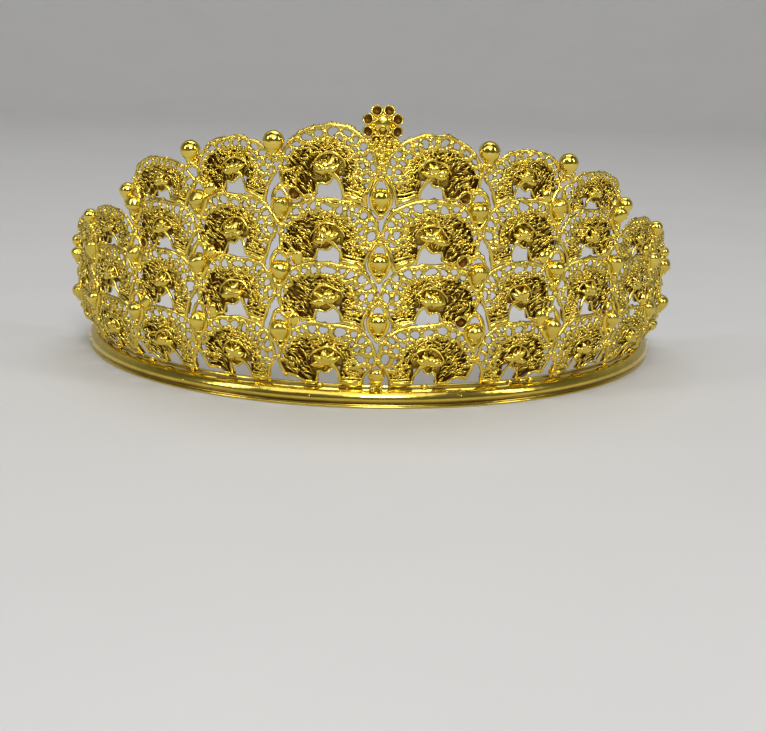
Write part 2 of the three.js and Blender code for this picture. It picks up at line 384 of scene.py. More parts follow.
class Fan:
    """A fan's flat outline. phi runs from the outer side, 0, over the top to the inner side, 180,
    and on down the inner leg; below 0 it runs down the outer wing and stub. rho is 1 at the rim."""

    def __init__(self, half, height, lower_rise, fullness, rng):
        self.half = half
        self.height = height
        self.lower_rise = lower_rise
        self.fullness = fullness
        self.rng = rng
        self.rise = ARCH_RISE * height
        self.spring = height - self.rise
        self.size = math.sqrt(half * height / REFERENCE_AREA)

    def below(self, x):
        """Top of the fan underneath, or of the band."""
        if not self.lower_rise:
            return 0 * x
        return GAP - self.lower_rise * (1 - (1 - np.abs(x) ** LOWER_FULLNESS) ** (1 / LOWER_FULLNESS))

    def on_arch(self, phi, rho):
        turn = np.radians(phi)
        side, up = np.cos(turn), np.sin(turn)
        stretch = 1 + CROWN_STRETCH * up * ramp(rho, 0.6, 0.35)
        power = 2 / (2 + (self.fullness - 2) * ramp(rho, 0.4, 0.8))
        x = rho * np.sign(side) * np.abs(side) ** power
        return x, self.spring + rho * stretch * self.rise * up**power

    def on_leg(self, down, rho):
        """Inner side, from 0 where the arch springs down to 1 at the foot."""
        foot = WINDOW_HALF + (LEG_OUTER - WINDOW_HALF) * ramp(rho, INNER_RIM, 1)
        x = -rho + (rho - foot) * (1 - (1 - down) ** 2)
        return x, self.spring + (self.below(foot) - self.spring) * down

    def on_wing(self, down, rho):
        """Outer side, likewise: a stub foot, and outside it a wing that ends in the air."""
        wing = ramp(rho, WING["from"], WING["to"])
        stub = WINDOW_HALF + (STUB_OUTER - WINDOW_HALF) * ramp(rho, INNER_RIM, WING["from"])
        past = STUB_OUTER + WING["step"] * wing + WING["spread"] * np.clip(rho - WING["to"], 0, 1)
        end = np.where(wing > 0, past, stub)
        bow = 1 + WING["bow"] * np.sin(np.pi * ramp(rho, 0.55, 1))
        lift = WING["lift"] * self.height * bow
        floor = self.below(np.minimum(end, STUB_OUTER)) * (1 - wing) + lift * wing
        x = rho + (end - rho) * down * down * (3 - 2 * down)
        return x, self.spring + (floor - self.spring) * down

    def place(self, phi, rho):
        """Flat u and v of a turn and a share."""
        phi, rho = np.broadcast_arrays(np.asarray(phi, float), np.asarray(rho, float))
        x, v = self.on_arch(np.clip(phi, 0, 180), rho)
        leg_x, leg_v = self.on_leg(ramp(phi, 180, 180 + LEG_SPAN), rho)
        wing_x, wing_v = self.on_wing(ramp(phi, 0, -LEG_SPAN), rho)
        x = np.where(phi > 180, leg_x, np.where(phi < 0, wing_x, x))
        v = np.where(phi > 180, leg_v, np.where(phi < 0, wing_v, v))
        return x * self.half, v

    def holds(self, u, v):
        """Whether flat points lie on the garland, clear of the boss, the window and the edges."""
        x, low = u / self.half, np.clip(v / self.spring, 0, 1)
        up = np.clip(v - self.spring, 0, None) / self.rise
        share = (np.abs(x) ** self.fullness + up**self.fullness) ** (1 / self.fullness)
        leg = -x < LEG_OUTER + (GARLAND["leg"] - LEG_OUTER) * low
        wing = (x < STUB_OUTER) | (v > GARLAND["wing"] * self.height)
        clear = np.where(up > 0, share > GARLAND["inside"], np.abs(x) > GARLAND["beside"])
        return bool(np.all(np.where(x < 0, leg, wing) & clear & (share < GARLAND["outside"])))

    def at(self, phi, rho, w):
        u, v = self.place(phi, rho)
        return level(u, v, w)


# Net: where it gives way to the wreath at some turns, broad on the inner side and narrow on the outer
NET_TURNS = (-15, 0, 30, 60, 90, 130, 180, 210)
NET_INSIDE = (0.93, 0.88, 0.77, 0.68, 0.62, 0.57, 0.54, 0.56)
NET_CELL = 2.1
NET_WEB = 0.5
NET_ENDS = (-12.0, 207)
NET_CROWN = 55
NET_BORDER = {"from": -14, "to": 210, "step": 9.0, "outside": 1.04, "past": 0.06}
WEB_SHAPE = np.array([1.2, 0.85, 1.2])
SHORTEST_WEB = 0.12
WIDEST_TRIANGLE = 45


def net_inside(phi):
    return np.interp(phi, NET_TURNS, NET_INSIDE)


def net_height(rho, inside):
    """Height of the net over the wall: a low vault between its edges."""
    return 0.30 + 0.3 * np.sin(np.pi * np.clip((rho - inside) / (1 - inside), 0, 1))


def cell_middles(fan):
    """Turns and shares of the net's cells in uneven rows, with one more row past each edge."""
    cell = NET_CELL * fan.size
    points = []
    phi, end = NET_ENDS
    while phi < end:
        inside = float(net_inside(phi))
        reach = fan.half if abs(phi - 90) > NET_CROWN else fan.rise * 1.1
        rows = max(1, round((NET_EDGE - inside) * reach / cell))
        for row in range(rows):
            share = (row + 0.5 + fan.rng.uniform(-0.24, 0.24)) / rows
            shift = (row % 2) * 0.5 + fan.rng.uniform(-0.3, 0.3)
            points.append((phi + shift * 10.0, inside + (NET_EDGE - inside) * share))
        speed = np.hypot(fan.half * math.sin(math.radians(phi)), fan.rise * math.cos(math.radians(phi)))
        phi += math.degrees(cell / (0.8 * max(speed, 0.5 * fan.half)))
    for phi in np.arange(NET_BORDER["from"], NET_BORDER["to"], NET_BORDER["step"]):
        for rho in (NET_BORDER["outside"], float(net_inside(phi)) - NET_BORDER["past"]):
            points.append((phi + fan.rng.uniform(-2, 2), rho))
    return np.array(points)


def add_net(shells, fan):
    """Reticulated net: webs between cells scattered over the crescent."""
    points = cell_middles(fan)
    u, v = fan.place(points[:, 0], points[:, 1])
    flat = [Vector((a, b)) for a, b in zip(u, v)]
    _, _, triangles, *_ = delaunay_2d_cdt(flat, [], [], 0, 1e-4)
    triangles = [tuple(t) for t in triangles]
    corners = points[np.array(triangles)]
    middle = corners.mean(axis=1)
    spread = np.ptp(corners[:, :, 0], axis=1)
    keep = (middle[:, 1] > net_inside(middle[:, 0]) - 0.02) & (middle[:, 1] < 0.985)
    keep &= spread < WIDEST_TRIANGLE
    owners = {}
    for index, triangle in enumerate(triangles):
        if keep[index]:
            for i in range(3):
                edge = tuple(sorted((triangle[i], triangle[(i + 1) % 3])))
                owners.setdefault(edge, []).append(index)
    for edge, pair in owners.items():
        if len(pair) == 2:
            ends = middle[pair]
        else:
            border = points[list(edge)].mean(axis=0)
            border[1] = np.clip(border[1], net_inside(border[0]) - 0.01, OUTER_RIM)
            ends = np.array([middle[pair[0]], border])
        line = fan.at(ends[:, 0], ends[:, 1], net_height(ends[:, 1], net_inside(ends[:, 0])))
        if np.linalg.norm(line[1] - line[0]) > SHORTEST_WEB:
            line = np.array([line[0], line.mean(axis=0), line[1]])
            thick = NET_WEB * fan.size * fan.rng.uniform(0.8, 1.25) * WEB_SHAPE
            tube(shells, line, thick, sides=6, painted_shade=0.03, flat=0.8, blunt=True)


# Wreath: twigs rise outwards at slopes in degrees that change with the turn
WREATH_ENDS = (-59, 238)
WREATH_STEPS = 60
PLATE_FRONT = -0.28
PLATE_BACK = -0.48
TWIG_TRIES = 350
TWIG_SLOPES = ((-50, 0, 45, 90, 135, 180, 230), (42, 26, 14, 4, 24, 34, 6))
TWIG_SHARES = np.array([-0.5, 0.05, 0.5])
TWIG_SHAPE = np.array([0.75, 1.2, 0.6])
TWIG_BOW = 0.25


def add_plate(shells, fan):
    """Recessed plate between the net and the boss, darkened in front with painted shade to stand in for the
    shade behind the twigs, with a wire round its back.
    """
    phi = np.linspace(*WREATH_ENDS, WREATH_STEPS)
    outside = np.interp(phi, (-10, 0, 205, 212), (0.96, 0, 0, 0.96))
    outside = np.maximum(outside, net_inside(np.clip(phi, 0, 205)))
    share = np.linspace(0, 1, 5)
    rho = INNER_RIM + (outside - INNER_RIM)[:, None] * share[None, :]
    front = fan.at(phi[:, None], rho, PLATE_FRONT)
    back = fan.at(phi[:, None], rho, PLATE_BACK)
    # Painted shade: the plate's front is dark, its back lighter.
    slab(shells, front[:, ::-1], back[:, ::-1], (0.95, 0.25))
    wire = np.vstack([back[::2, -1], back[::-2, 0]])
    tube(shells, wire, 0.22 * fan.size, sides=5, painted_shade=0.05)


def twig_line(fan, u, v, slope):
    """Three points of a short twig through a flat point, and how far each of them bows out."""
    run = TWIG_SHARES * fan.rng.uniform(0.9, 2.2) * fan.size
    bow = TWIG_BOW * fan.size * (1 - 4 * TWIG_SHARES**2)
    return u + run * math.cos(slope), v + run * math.sin(slope) + bow, bow


def add_twigs(shells, fan):
    """Garland of fine twigs over the plate, the lower ones darkened with painted shade."""
    for _ in range(round(TWIG_TRIES * fan.size)):
        phi = fan.rng.uniform(-55, 230)
        outer = 0.9 if phi < -10 or phi > 205 else float(net_inside(max(phi, 0.0))) + 0.04
        u, v = fan.place(phi, fan.rng.uniform(SECOND_RIM, outer))
        slope = math.radians(np.interp(phi, *TWIG_SLOPES) + fan.rng.normal(0, 24))
        line_u, line_v, bow = twig_line(fan, u, v, slope)
        if not fan.holds(line_u, line_v):
            continue
        low = fan.rng.uniform() < 0.4
        height = (-0.1 if low else fan.rng.uniform(0.1, 0.5)) + bow * 0.9
        thin = fan.rng.uniform(0.12, 0.2) * fan.size * TWIG_SHAPE
        # Painted shade on the lower twigs.
        mark = 0.5 if low else 0.02
        tube(shells, level(line_u, line_v, height), thin, sides=4, painted_shade=mark, blunt=True)


# Rims: the outer one, the lid over the boss, and the window's outer edge as shares of half width and height
RIM = {"radius": 0.4, "forward": 0.5, "steps": 66}
UNDER_WING = {"inside": 0.62, "forward": 0.42, "steps": 9}
LID = {"ends": (168, 4), "rho": 0.03, "ripple": 0.008, "radius": 0.3, "forward": 0.6, "steps": 36}
WINDOW_EDGE = {"foot": 0.27, "top": 0.2, "radius": 0.28, "forward": 0.35, "steps": 6}


def add_rims(shells, fan):
    """Smooth outer rim down to the feet, the lid that lies over the boss, and the window's outer edge."""
    phi = np.linspace(180 + LEG_SPAN, -LEG_SPAN, RIM["steps"])
    arch = fan.at(phi, OUTER_RIM, RIM["forward"])
    rho = np.linspace(OUTER_RIM - 0.05, UNDER_WING["inside"], UNDER_WING["steps"])
    under = fan.at(np.full(len(rho), -LEG_SPAN), rho, UNDER_WING["forward"])
    stub = fan.at(np.linspace(4 - LEG_SPAN, -LEG_SPAN, 3), STUB_OUTER + 0.01, UNDER_WING["forward"])
    tube(shells, np.vstack([arch, under, stub]), RIM["radius"] * fan.size, sides=8)
    phi = np.linspace(*LID["ends"], LID["steps"])
    wave = np.sin(np.radians(phi) * 5 + fan.rng.uniform(0, 6))
    ripple = INNER_RIM + LID["rho"] + LID["ripple"] * wave
    thick = LID["radius"] * fan.size * np.sin(np.linspace(0.5, math.pi - 0.5, LID["steps"]))
    tube(shells, fan.at(phi, ripple, LID["forward"]), thick, sides=7, painted_shade=0.04)
    foot, top, steps = (WINDOW_EDGE[k] for k in ("foot", "top", "steps"))
    edge_v = np.linspace(float(fan.below(np.array(foot))) / fan.height + 0.02, top, steps)
    edge_x = np.linspace(foot, top, steps)
    edge = level(edge_x * fan.half, edge_v * fan.height, WINDOW_EDGE["forward"])
    tube(shells, edge, WINDOW_EDGE["radius"] * fan.size, sides=8)


# Clusters of grains as turn, share, count and spread, then ribs across the inner leg as turn and radius
CLUSTERS = ((90, 0.6, 4, 7.0), (206, 0.66, 7, 5.0), (214, 0.7, 6, 3.0), (-8, 0.72, 6, 7.0))
CLUSTER_GRAIN = 0.32
LOOSE_GRAINS = 22
RIBS = ((222, 0.2), (230, 0.24))
FOOT_RADII = np.array([0.3, 0.42, 0.55, 0.65, 0.68, 0.65, 0.55, 0.42, 0.3])
STUB_RADIUS = 0.42
KNOB = {"turns": (178, 2), "rho": 0.975, "forward": 0.7, "radius": 0.6}

# Cup, as radius and height from its underside over the lip into the hollow, and its painted shade, dark in
# the hollow
CUP = np.array([
    (0, -0.35), (0.62, -0.35), (0.95, -0.1), (1.06, 0.3), (1.04, 0.62), (0.93, 0.7), (0.82, 0.62),
    (0.74, 0.35), (0.5, 0.12), (0.25, 0.03), (0, 0.0),
])
CUP_SHADE = (0.2, 0.2, 0.1, 0, 0, 0, 0.3, 0.8, 1, 1, 1)

# Curl under the wing: one in so many is a cup, the others a leaf with a tip
CURL = {"lift": 1.35, "forward": 0.45, "cups": 0.45, "cup": 1.3, "leaf": 1.7, "grains": 5}
CURL_TIP = np.array([[0.2, 0.9, 0.2], [0.7, 1.7, 0.1], [1.4, 2.1, 0.0]])
CURL_TIP_RADII = np.array([0.5, 0.4, 0.25])


def add_grains(shells, fan):
    """Grains in clusters and loose over the garland."""
    for phi, rho, count, spread in CLUSTERS:
        for i in range(count):
            turn = phi + fan.rng.uniform(-1, 1) * spread
            spot = fan.at(turn, rho + (i - (count - 1) / 2) * 0.06, 0.48 + fan.rng.uniform(0, 0.15))
            radius = CLUSTER_GRAIN * fan.size * fan.rng.uniform(0.8, 1.15)
            ball(shells, spot, radius, sides=7, rings=5, painted_shade=0.03)
    for _ in range(LOOSE_GRAINS):
        turn = fan.rng.uniform(-45, 225)
        inside, outside = SECOND_RIM + 0.08, float(net_inside(min(max(turn, 0), 205))) - 0.02
        spot = fan.at(turn, fan.rng.uniform(inside, outside), fan.rng.uniform(0.1, 0.4))
        ball(shells, spot, fan.rng.uniform(0.16, 0.27) * fan.size, sides=7, rings=4, painted_shade=0.05)


def add_feet(shells, fan):
    """Ribs and foot of the inner leg, the stub's foot, and a knob at each end of the arch."""
    for turn, thick in RIBS:
        rib = fan.at(np.full(9, turn), np.linspace(0.42, 0.93, 9), 0.5)
        tube(shells, rib, thick * fan.size, sides=6, painted_shade=0.08)
    foot = fan.at(np.full(9, 237.0), np.linspace(0.36, 0.97, 9), 0.42)
    tube(shells, foot, FOOT_RADII * fan.size, sides=10)
    stub = fan.at(np.full(5, -57.0), np.linspace(0.36, 0.49, 5), 0.42)
    tube(shells, stub, STUB_RADIUS * fan.size, sides=8)
    for turn in KNOB["turns"]:
        spot = fan.at(turn, KNOB["rho"], KNOB["forward"])
        ball(shells, spot, KNOB["radius"] * fan.size, sides=12, rings=8)


def add_curl(shells, fan):
    """Curl that fills the nook between the wing and the fan below: a smooth leaf, or a cup."""
    if not fan.lower_rise:
        return
    x = fan.rng.uniform(0.58, 0.66)
    lift = float(fan.below(np.array(x))) + CURL["lift"] * fan.size
    spot = np.array([x * fan.half, lift, CURL["forward"]])
    if fan.rng.uniform() < CURL["cups"]:
        lathe(shells, CUP * CURL["cup"] * fan.size, spot, axis="w", sides=20, painted_shade=CUP_SHADE)
    else:
        ball(shells, spot, CURL["leaf"] * fan.size, sides=18, rings=10, stretch=(0.85, 1.0, 0.6))
        tube(shells, spot + CURL_TIP * fan.size, CURL_TIP_RADII * fan.size, sides=8)
    for _ in range(CURL["grains"]):
        grain = spot + np.array([fan.rng.uniform(0.7, 2.2), fan.rng.uniform(0.6, 2.2), -0.1]) * fan.size
        ball(shells, grain, fan.rng.uniform(0.3, 0.42) * fan.size, sides=8, rings=5, painted_shade=0.04)


# Scroll from the inner foot to the boss and lip over the window, as shares of half width and height
SCROLL = ((-0.29, 0.02), (-0.27, 0.12), (-0.21, 0.23), (-0.12, 0.31), (-0.01, 0.37))
SCROLL_WIDTH = (0.34, 0.34, 0.38, 0.45, 0.55)
SCROLL_STEPS = 21
LIP = ((0.2, 0.19), (0.13, 0.21), (0.05, 0.19), (-0.02, 0.215), (-0.08, 0.265), (-0.15, 0.285))
LIP_STEPS = 25

# Leaf of the boss: the lobes' turns and lengths, and their width from root to tip
LOBES = ((-4, 2.9), (34, 2.8), (74, 2.3), (116, 2.3), (158, 2.6))
LOBE_WIDTH = np.array([0.5, 0.72, 0.82, 0.7, 0.4])
LEAF = {"x": 0.01, "v": 0.37, "forward": 0.4, "bulge": 0.6, "heart": 0.9}
HEART_SHIFT = np.array([0.15, 0.35, 0.6])

# Recess behind the boss: an arched plate darkened with painted shade, with twigs that spread from its foot
RECESS = {"half": 0.31, "top": 0.63, "fall": 0.6, "rows": 6, "front": -0.12, "back": -0.45}
RECESS_TWIGS = 22


def add_scroll(shells, fan):
    """Scroll that climbs from the inner foot to the boss."""
    nudge = fan.rng.uniform(-0.012, 0.012, (len(SCROLL), 2))
    line = smooth(np.array(SCROLL) + nudge, SCROLL_STEPS) * (fan.half, fan.height)
    share = np.linspace(0, 1, SCROLL_STEPS)
    width = np.interp(share, np.linspace(0, 1, len(SCROLL)), SCROLL_WIDTH)
    forward = np.linspace(0.4, 0.7, SCROLL_STEPS)
    tube(shells, np.column_stack([line, forward]), width * fan.size, sides=12)


def add_leaf(shells, fan):
    """Curled leaf of the boss: lobes that spread from one root, with a heart."""
    x = LEAF["x"] + fan.rng.uniform(-0.02, 0.02)
    root = np.array([x * fan.half, LEAF["v"] * fan.height, LEAF["forward"]])
    out = np.linspace(0, 1, len(LOBE_WIDTH))
    bulge = LEAF["bulge"] * np.sin(math.pi * (0.15 + 0.75 * out))
    for degrees, length in LOBES:
        turn = math.radians(degrees + fan.rng.uniform(-14, 14))
        reach = length * fan.size * fan.rng.uniform(0.75, 1.15) * out
        lobe = root + level(reach * math.cos(turn), reach * math.sin(turn), bulge)
        tube(shells, lobe, LOBE_WIDTH * fan.size, sides=9)
    heart = root + HEART_SHIFT * fan.size
    ball(shells, heart, LEAF["heart"] * fan.size, sides=14, rings=8, stretch=(1.1, 0.8, 0.8))


def add_recess(shells, fan):
    """Recess behind the boss, its plate darkened with painted shade, which ends below in a wavy lip over the
    window.
    """
    lip = smooth(np.array(LIP) + fan.rng.uniform(-0.008, 0.008, (len(LIP), 2)), LIP_STEPS)
    edge = level(lip[:, 0] * fan.half, lip[:, 1] * fan.height, 0.35)
    tube(shells, edge, 0.27 * fan.size, sides=8)
    rising = lip[::-1]
    for _ in range(RECESS_TWIGS):
        x = fan.rng.uniform(-0.26, 0.27)
        floor = float(np.interp(x, rising[:, 0], rising[:, 1])) + 0.05
        v = fan.rng.uniform(floor, RECESS["top"] - 0.05 - RECESS["fall"] * x * x) * fan.height
        slope = math.radians(90 - 220 * x + fan.rng.normal(0, 28))
        line_u, line_v, bow = twig_line(fan, x * fan.half, v, slope)
        thin = fan.rng.uniform(0.16, 0.26) * fan.size * TWIG_SHAPE
        tube(shells, level(line_u, line_v, 0.05 + bow), thin, sides=4, painted_shade=0.1, blunt=True)
    x = np.linspace(-RECESS["half"], RECESS["half"], LIP_STEPS)
    low = np.interp(x, rising[:, 0], rising[:, 1]) * fan.height
    high = (RECESS["top"] - RECESS["fall"] * x * x) * fan.height
    share = np.linspace(0, 1, RECESS["rows"])
    v = low[:, None] + (high - low)[:, None] * share[None, :]
    u = np.repeat(x[:, None] * fan.half, RECESS["rows"], axis=1)
    # Painted shade: the recess plate is dark in front, lighter behind.
    slab(shells, level(u, v, RECESS["front"]), level(u, v, RECESS["back"]), (0.6, 0.25))


# Outline of a bead's setting from the loop above it to the knot below, in shares of its radius
SETTING = (
    (0.0, 1.9), (0.42, 1.75), (0.68, 1.3), (0.86, 0.75), (1.0, 0.2), (0.98, -0.5), (0.6, -1.3), (0.14, -1.8),
)
SETTING_STEPS = 25
STRAP = {"radius": 0.25, "forward": -0.25}
KNOTS = ((2.0, 0.36), (-1.9, 0.38))
# Plate of painted shadow under a bead: where it starts, and its front and back.
BACKING = {"from": -0.2, "front": -0.75, "back": -1.05}


def add_frame(shells, centre, radius):
    """Setting of a bead: a loop that stands over it and straps that close in a knot below, with a plate
    behind darkened as painted shadow under the bead.
    """
    centre = np.asarray(centre, float)
    rows = smooth(SETTING, SETTING_STEPS)
    for side in (1, -1):
        strap = level(side * rows[:, 0] * radius, rows[:, 1] * radius, STRAP["forward"])
        tube(shells, strap + centre, STRAP["radius"] * radius, sides=8)
    for v, size in KNOTS:
        ball(shells, centre + (0, v * radius, -0.2), size * radius, sides=10, rings=6)
    under = rows[rows[:, 1] < BACKING["from"]]
    share = np.linspace(-1, 1, 3)
    u = under[:, :1] * radius * share[None, :]
    v = np.repeat(under[:, 1:] * radius, 3, axis=1)
    front = level(u, v, BACKING["front"]) + centre
    back = level(u, v, BACKING["back"]) + centre
    slab(shells, front[:, ::-1], back[:, ::-1], (0.85, 0.25))


def add_shoulder_bead(shells, fan):
    """Bead over the joint with the next column, in its setting."""
    centre = (fan.half - SHOULDER_BEAD["inset"], fan.height - SHOULDER_BEAD["drop"], BEAD_FORWARD)
    bead(shells, centre, SHOULDER_BEAD["radius"])
    add_frame(shells, centre, SHOULDER_BEAD["radius"])


# All fans, each of them uneven by slow waves
FAN_PARTS = (
    add_net, add_plate, add_twigs, add_rims, add_grains, add_feet, add_curl, add_scroll, add_leaf, add_recess,
)
WOBBLE = {"amount": 0.2, "waves": 5, "rate": 0.9}


def wobble(points, rng):
    """Uneven handwork: slow waves that push points about by up to about the amount."""
    waves = rng.normal(0, WOBBLE["rate"], (WOBBLE["waves"], 2))
    phases = rng.uniform(0, 2 * math.pi, (WOBBLE["waves"], 3))
    shift = np.zeros_like(points)
    for wave, phase in zip(waves, phases):
        shift += np.sin((points[:, :2] @ wave)[:, None] + phase[None, :])
    return points + shift * WOBBLE["amount"] / (WOBBLE["waves"] / 2)


def build_fans():
    for index, column in enumerate(COLUMNS):
        start = COLUMNS[index - 1]["edge"] if index else 0.0
        half = WALL_RADIUS * math.radians(column["edge"] - start) / 2 - GAP / 2
        turn = (column["edge"] + start) / 2
        last = len(column["tops"]) - 1
        for word, side in SIDES:
            base, lower_rise = WALL_FOOT, 0.0
            for tier, top in enumerate(column["tops"]):
                crest = top - side * column["uneven"] if tier == last else top
                rng = np.random.default_rng(1000 * index + 10 * tier + (side > 0))
                fullness = TOP_FULLNESS if tier == last else LOWER_FULLNESS
                fan = Fan(half, crest - base, lower_rise, fullness, rng)
                shells = Shells()
                for add in FAN_PARTS:
                    add(shells, fan)
                if column["bead"] and tier < last:
                    add_shoulder_bead(shells, fan)
                points, faces, painted_shade = shells.arrays()
                points = wobble(points, rng)
                if side < 0:
                    points = points * (-1, 1, 1)
                    faces = [tuple(reversed(face)) for face in faces]
                node = f"fan_{word}_{index + 1}_tier_{tier + 1}"
                name = node.replace("fan", "filigree")
                points = on_wall(points, base, side * turn)
                piece(name, points, faces, painted_shade, FILIGREE, node)
                base, lower_rise = crest, fan.rise


# Beads that stand alone

FOOT_GRAINS = 16
FOOT_DEPTH = 0.75


def add_foot(shells, centre, radius):
    """Heap of grains that beds a bead's stem on the work below it."""
    rng = np.random.default_rng(round(100 * radius))
    for i in range(FOOT_GRAINS):
        drop = 1.0 + FOOT_DEPTH * i / FOOT_GRAINS
        reach = radius * (0.75 - 0.25 * (drop - 1.0))
        shift = (rng.uniform(-reach, reach), -drop * radius, rng.uniform(-0.5, 0.2))
        size = radius * rng.uniform(0.17, 0.28)
        ball(shells, np.asarray(centre) + shift, size, sides=9, rings=6, painted_shade=0.04)


def build_bead(node, radius, u, height, turn, dress):
    """Bead at a height over a turn of the wall, with a setting or a foot."""
    shells = Shells()
    centre = (u, 0, BEAD_FORWARD)
    bead(shells, centre, radius)
    dress(shells, centre, radius)
    points, faces, painted_shade = shells.arrays()
    piece(f"polished_{node}", on_wall(points, height, turn), faces, painted_shade, POLISHED, node)


def build_beads():
    for index, column in enumerate(COLUMNS):
        if column["bead"]:
            radius, height, past = column["bead"]
            for word, side in SIDES:
                node = f"top_bead_{word}_{index + 1}"
                lower = height - side * SKYLINE_UNEVEN * column["uneven"]
                build_bead(node, radius, side * past, lower, side * column["edge"], add_foot)
    build_bead("centre_bead_1", LOWEST_BEAD["radius"], 0, LOWEST_BEAD["height"], 0, add_foot)
    for tier, top in enumerate(COLUMNS[0]["tops"][:-1]):
        height = top + CENTRE_BEAD["rise"]
        build_bead(f"centre_bead_{tier + 2}", CENTRE_BEAD["radius"], 0, height, 0, add_frame)


# Flower over the centre: outlines as radius and height, turned about its face

FLOWER_SEED = 5
DISC = ((0, -0.35), (2.5, -0.35), (2.75, -0.1), (2.6, 0.15), (0, 0.2))
DOME = ((0, -0.3), (1.6, -0.3), (1.9, 0.1), (1.85, 0.5), (1.45, 0.85), (0.85, 1.05), (0.0, 1.1))
DOME_PLACE = (0, 0.25, 0)
PETALS = {"count": 8, "reach": 2.85, "forward": 0.3, "cup": 1.08, "lean": 22}
BETWEEN = {"reach": 2.0, "forward": 0.55, "radius": 0.36}
HEART_CUP = {"size": 0.95, "place": (0, -1.0, 0.8)}
RING_GRAINS = 18
WEDGE_GRAINS = 100
WEDGE_DROPS = (2.6, 4.4, 6.2, 8.6)
WEDGE_WIDTHS = (3.2, 2.6, 1.4, 0.5)
WEDGE_CORE = ((1.5, 2.4), (3.4, 2.3), (5.2, 1.3), (8.2, 0.4))


def round_spot(reach, turn, forward):
    return (reach * math.cos(turn), reach * math.sin(turn), forward)


def build_flower():
    shells = Shells()
    # Disc behind the petals and dome, darkened with painted shade.
    lathe(shells, DISC, (0, 0, 0), axis="w", sides=32, painted_shade=0.3)
    count = PETALS["count"]
    for i in range(count):
        turn = 2 * math.pi * (i + 0.5) / count
        lean = Matrix.Rotation(math.radians(PETALS["lean"]), 3, Vector((-math.sin(turn), math.cos(turn), 0)))
        spot = round_spot(PETALS["reach"], turn, PETALS["forward"])
        lathe(shells, CUP * PETALS["cup"], spot, axis="w", sides=20, painted_shade=CUP_SHADE, lean=lean)
        spot = round_spot(BETWEEN["reach"], turn + math.pi / count, BETWEEN["forward"])
        ball(shells, spot, BETWEEN["radius"], sides=10, rings=6)
    lathe(shells, DOME, DOME_PLACE, axis="w", sides=28)
    lathe(shells, CUP * HEART_CUP["size"], HEART_CUP["place"], axis="w", sides=20, painted_shade=CUP_SHADE)
    rng = np.random.default_rng(FLOWER_SEED)
    for i in range(RING_GRAINS):
        spot = round_spot(rng.uniform(1.75, 2.25), 2 * math.pi * i / RING_GRAINS, BETWEEN["forward"])
        ball(shells, spot, rng.uniform(0.3, 0.42), sides=8, rings=5)
    for i in range(WEDGE_GRAINS):
        drop = WEDGE_DROPS[0] + (WEDGE_DROPS[-1] - WEDGE_DROPS[0]) * i / WEDGE_GRAINS
        wide = float(np.interp(drop, WEDGE_DROPS, WEDGE_WIDTHS))
        spot = (rng.uniform(-0.85, 1.15) * wide, -drop, rng.uniform(0.2, 0.9))
        ball(shells, spot, rng.uniform(0.34, 0.6), sides=9, rings=6, painted_shade=0.04)
    # Flat core behind the wedge of grains, darkened as a sheet of painted shade.
    core = [(0, -drop, -0.1) for drop, _ in WEDGE_CORE]
    tube(shells, core, [wide for _, wide in WEDGE_CORE], sides=12, painted_shade=0.5, flat=0.3)
    points, faces, painted_shade = shells.arrays()
    points = on_wall(points, FLOWER_HEIGHT, 0)
    piece("flower_cups", points, faces, painted_shade, FILIGREE, "flower_finial")


# Base band: softened edges in millimetres, its lip as distance past, height and painted shade, its ends in
# degrees

BAND_SEED = 11
FOOT_EDGE = 0.12
STRIP_EDGE = 0.15
LIP_CURVE = ((-0.15, 0.0, 0.2), (0.0, 0.12, 0.05), (0.05, 0.3, 0.0), (-0.02, 0.52, 0.0))
MOULDING_TURNS = np.linspace(-72, 78, 22)
# Painted shade over the moulding's turns: dark on its lower face, none above its ridge.
MOULDING_SHADE = ((-70, -14, -2), (0.8, 0.7, 0.0))
BAND_STEPS = 230
BAND_END_GAP = 0.03
END_TURNS = (0.0, 0.12, 0.4, 0.9)
END_SIZES = (0.55, 0.82, 0.95)
SOLDER_TURNS = (-71, -58, -44, -33, -11.5, 9, 24, 30.5, 49, 62, 77)
SOLDER_DROPS = 14


def on_moulding(degrees):
    """Radius and height on the moulding's face: 0 at its ridge, 90 at its top."""
    turn = math.radians(degrees)
    rise = MOULDING_TOP - MOULDING_RIDGE if degrees > 0 else MOULDING_RIDGE - LIP_HEIGHT
    return STRIP_OUTER + (BAND_RADIUS - STRIP_OUTER) * math.cos(turn), MOULDING_RIDGE + rise * math.sin(turn)


def band_profile():
    """Outline of the band, counted round from the inner foot: radius, height, and painted shade, dark on the
    moulding's lower face and in the crease under the strip.
    """
    rows = [(STRIP_INNER, FOOT_EDGE, 0.1), (STRIP_INNER + FOOT_EDGE, 0.0, 0.2)]
    lip = BAND_RADIUS - LIP_SETBACK
    rows += [(lip + past, height, mark) for past, height, mark in LIP_CURVE]
    for degrees in MOULDING_TURNS:
        rows.append((*on_moulding(degrees), float(np.interp(degrees, *MOULDING_SHADE))))
    rows += [(STRIP_OUTER + FOOT_EDGE, MOULDING_TOP - 0.05, 0.6), (STRIP_OUTER, MOULDING_TOP + 0.05, 0.5)]
    rows += [(STRIP_OUTER, STRIP_HEIGHT - STRIP_EDGE, 0.0), (STRIP_OUTER - STRIP_EDGE, STRIP_HEIGHT, 0.0)]
    rows += [(STRIP_INNER + STRIP_EDGE, STRIP_HEIGHT, 0.0), (STRIP_INNER, STRIP_HEIGHT - STRIP_EDGE, 0.0)]
    return np.array(rows)


def round_band(radius, turn, height):
    """Points about the head's middle, from the front's turn of 0."""
    return np.stack([radius * math.sin(turn), -radius * math.cos(turn), height], -1)


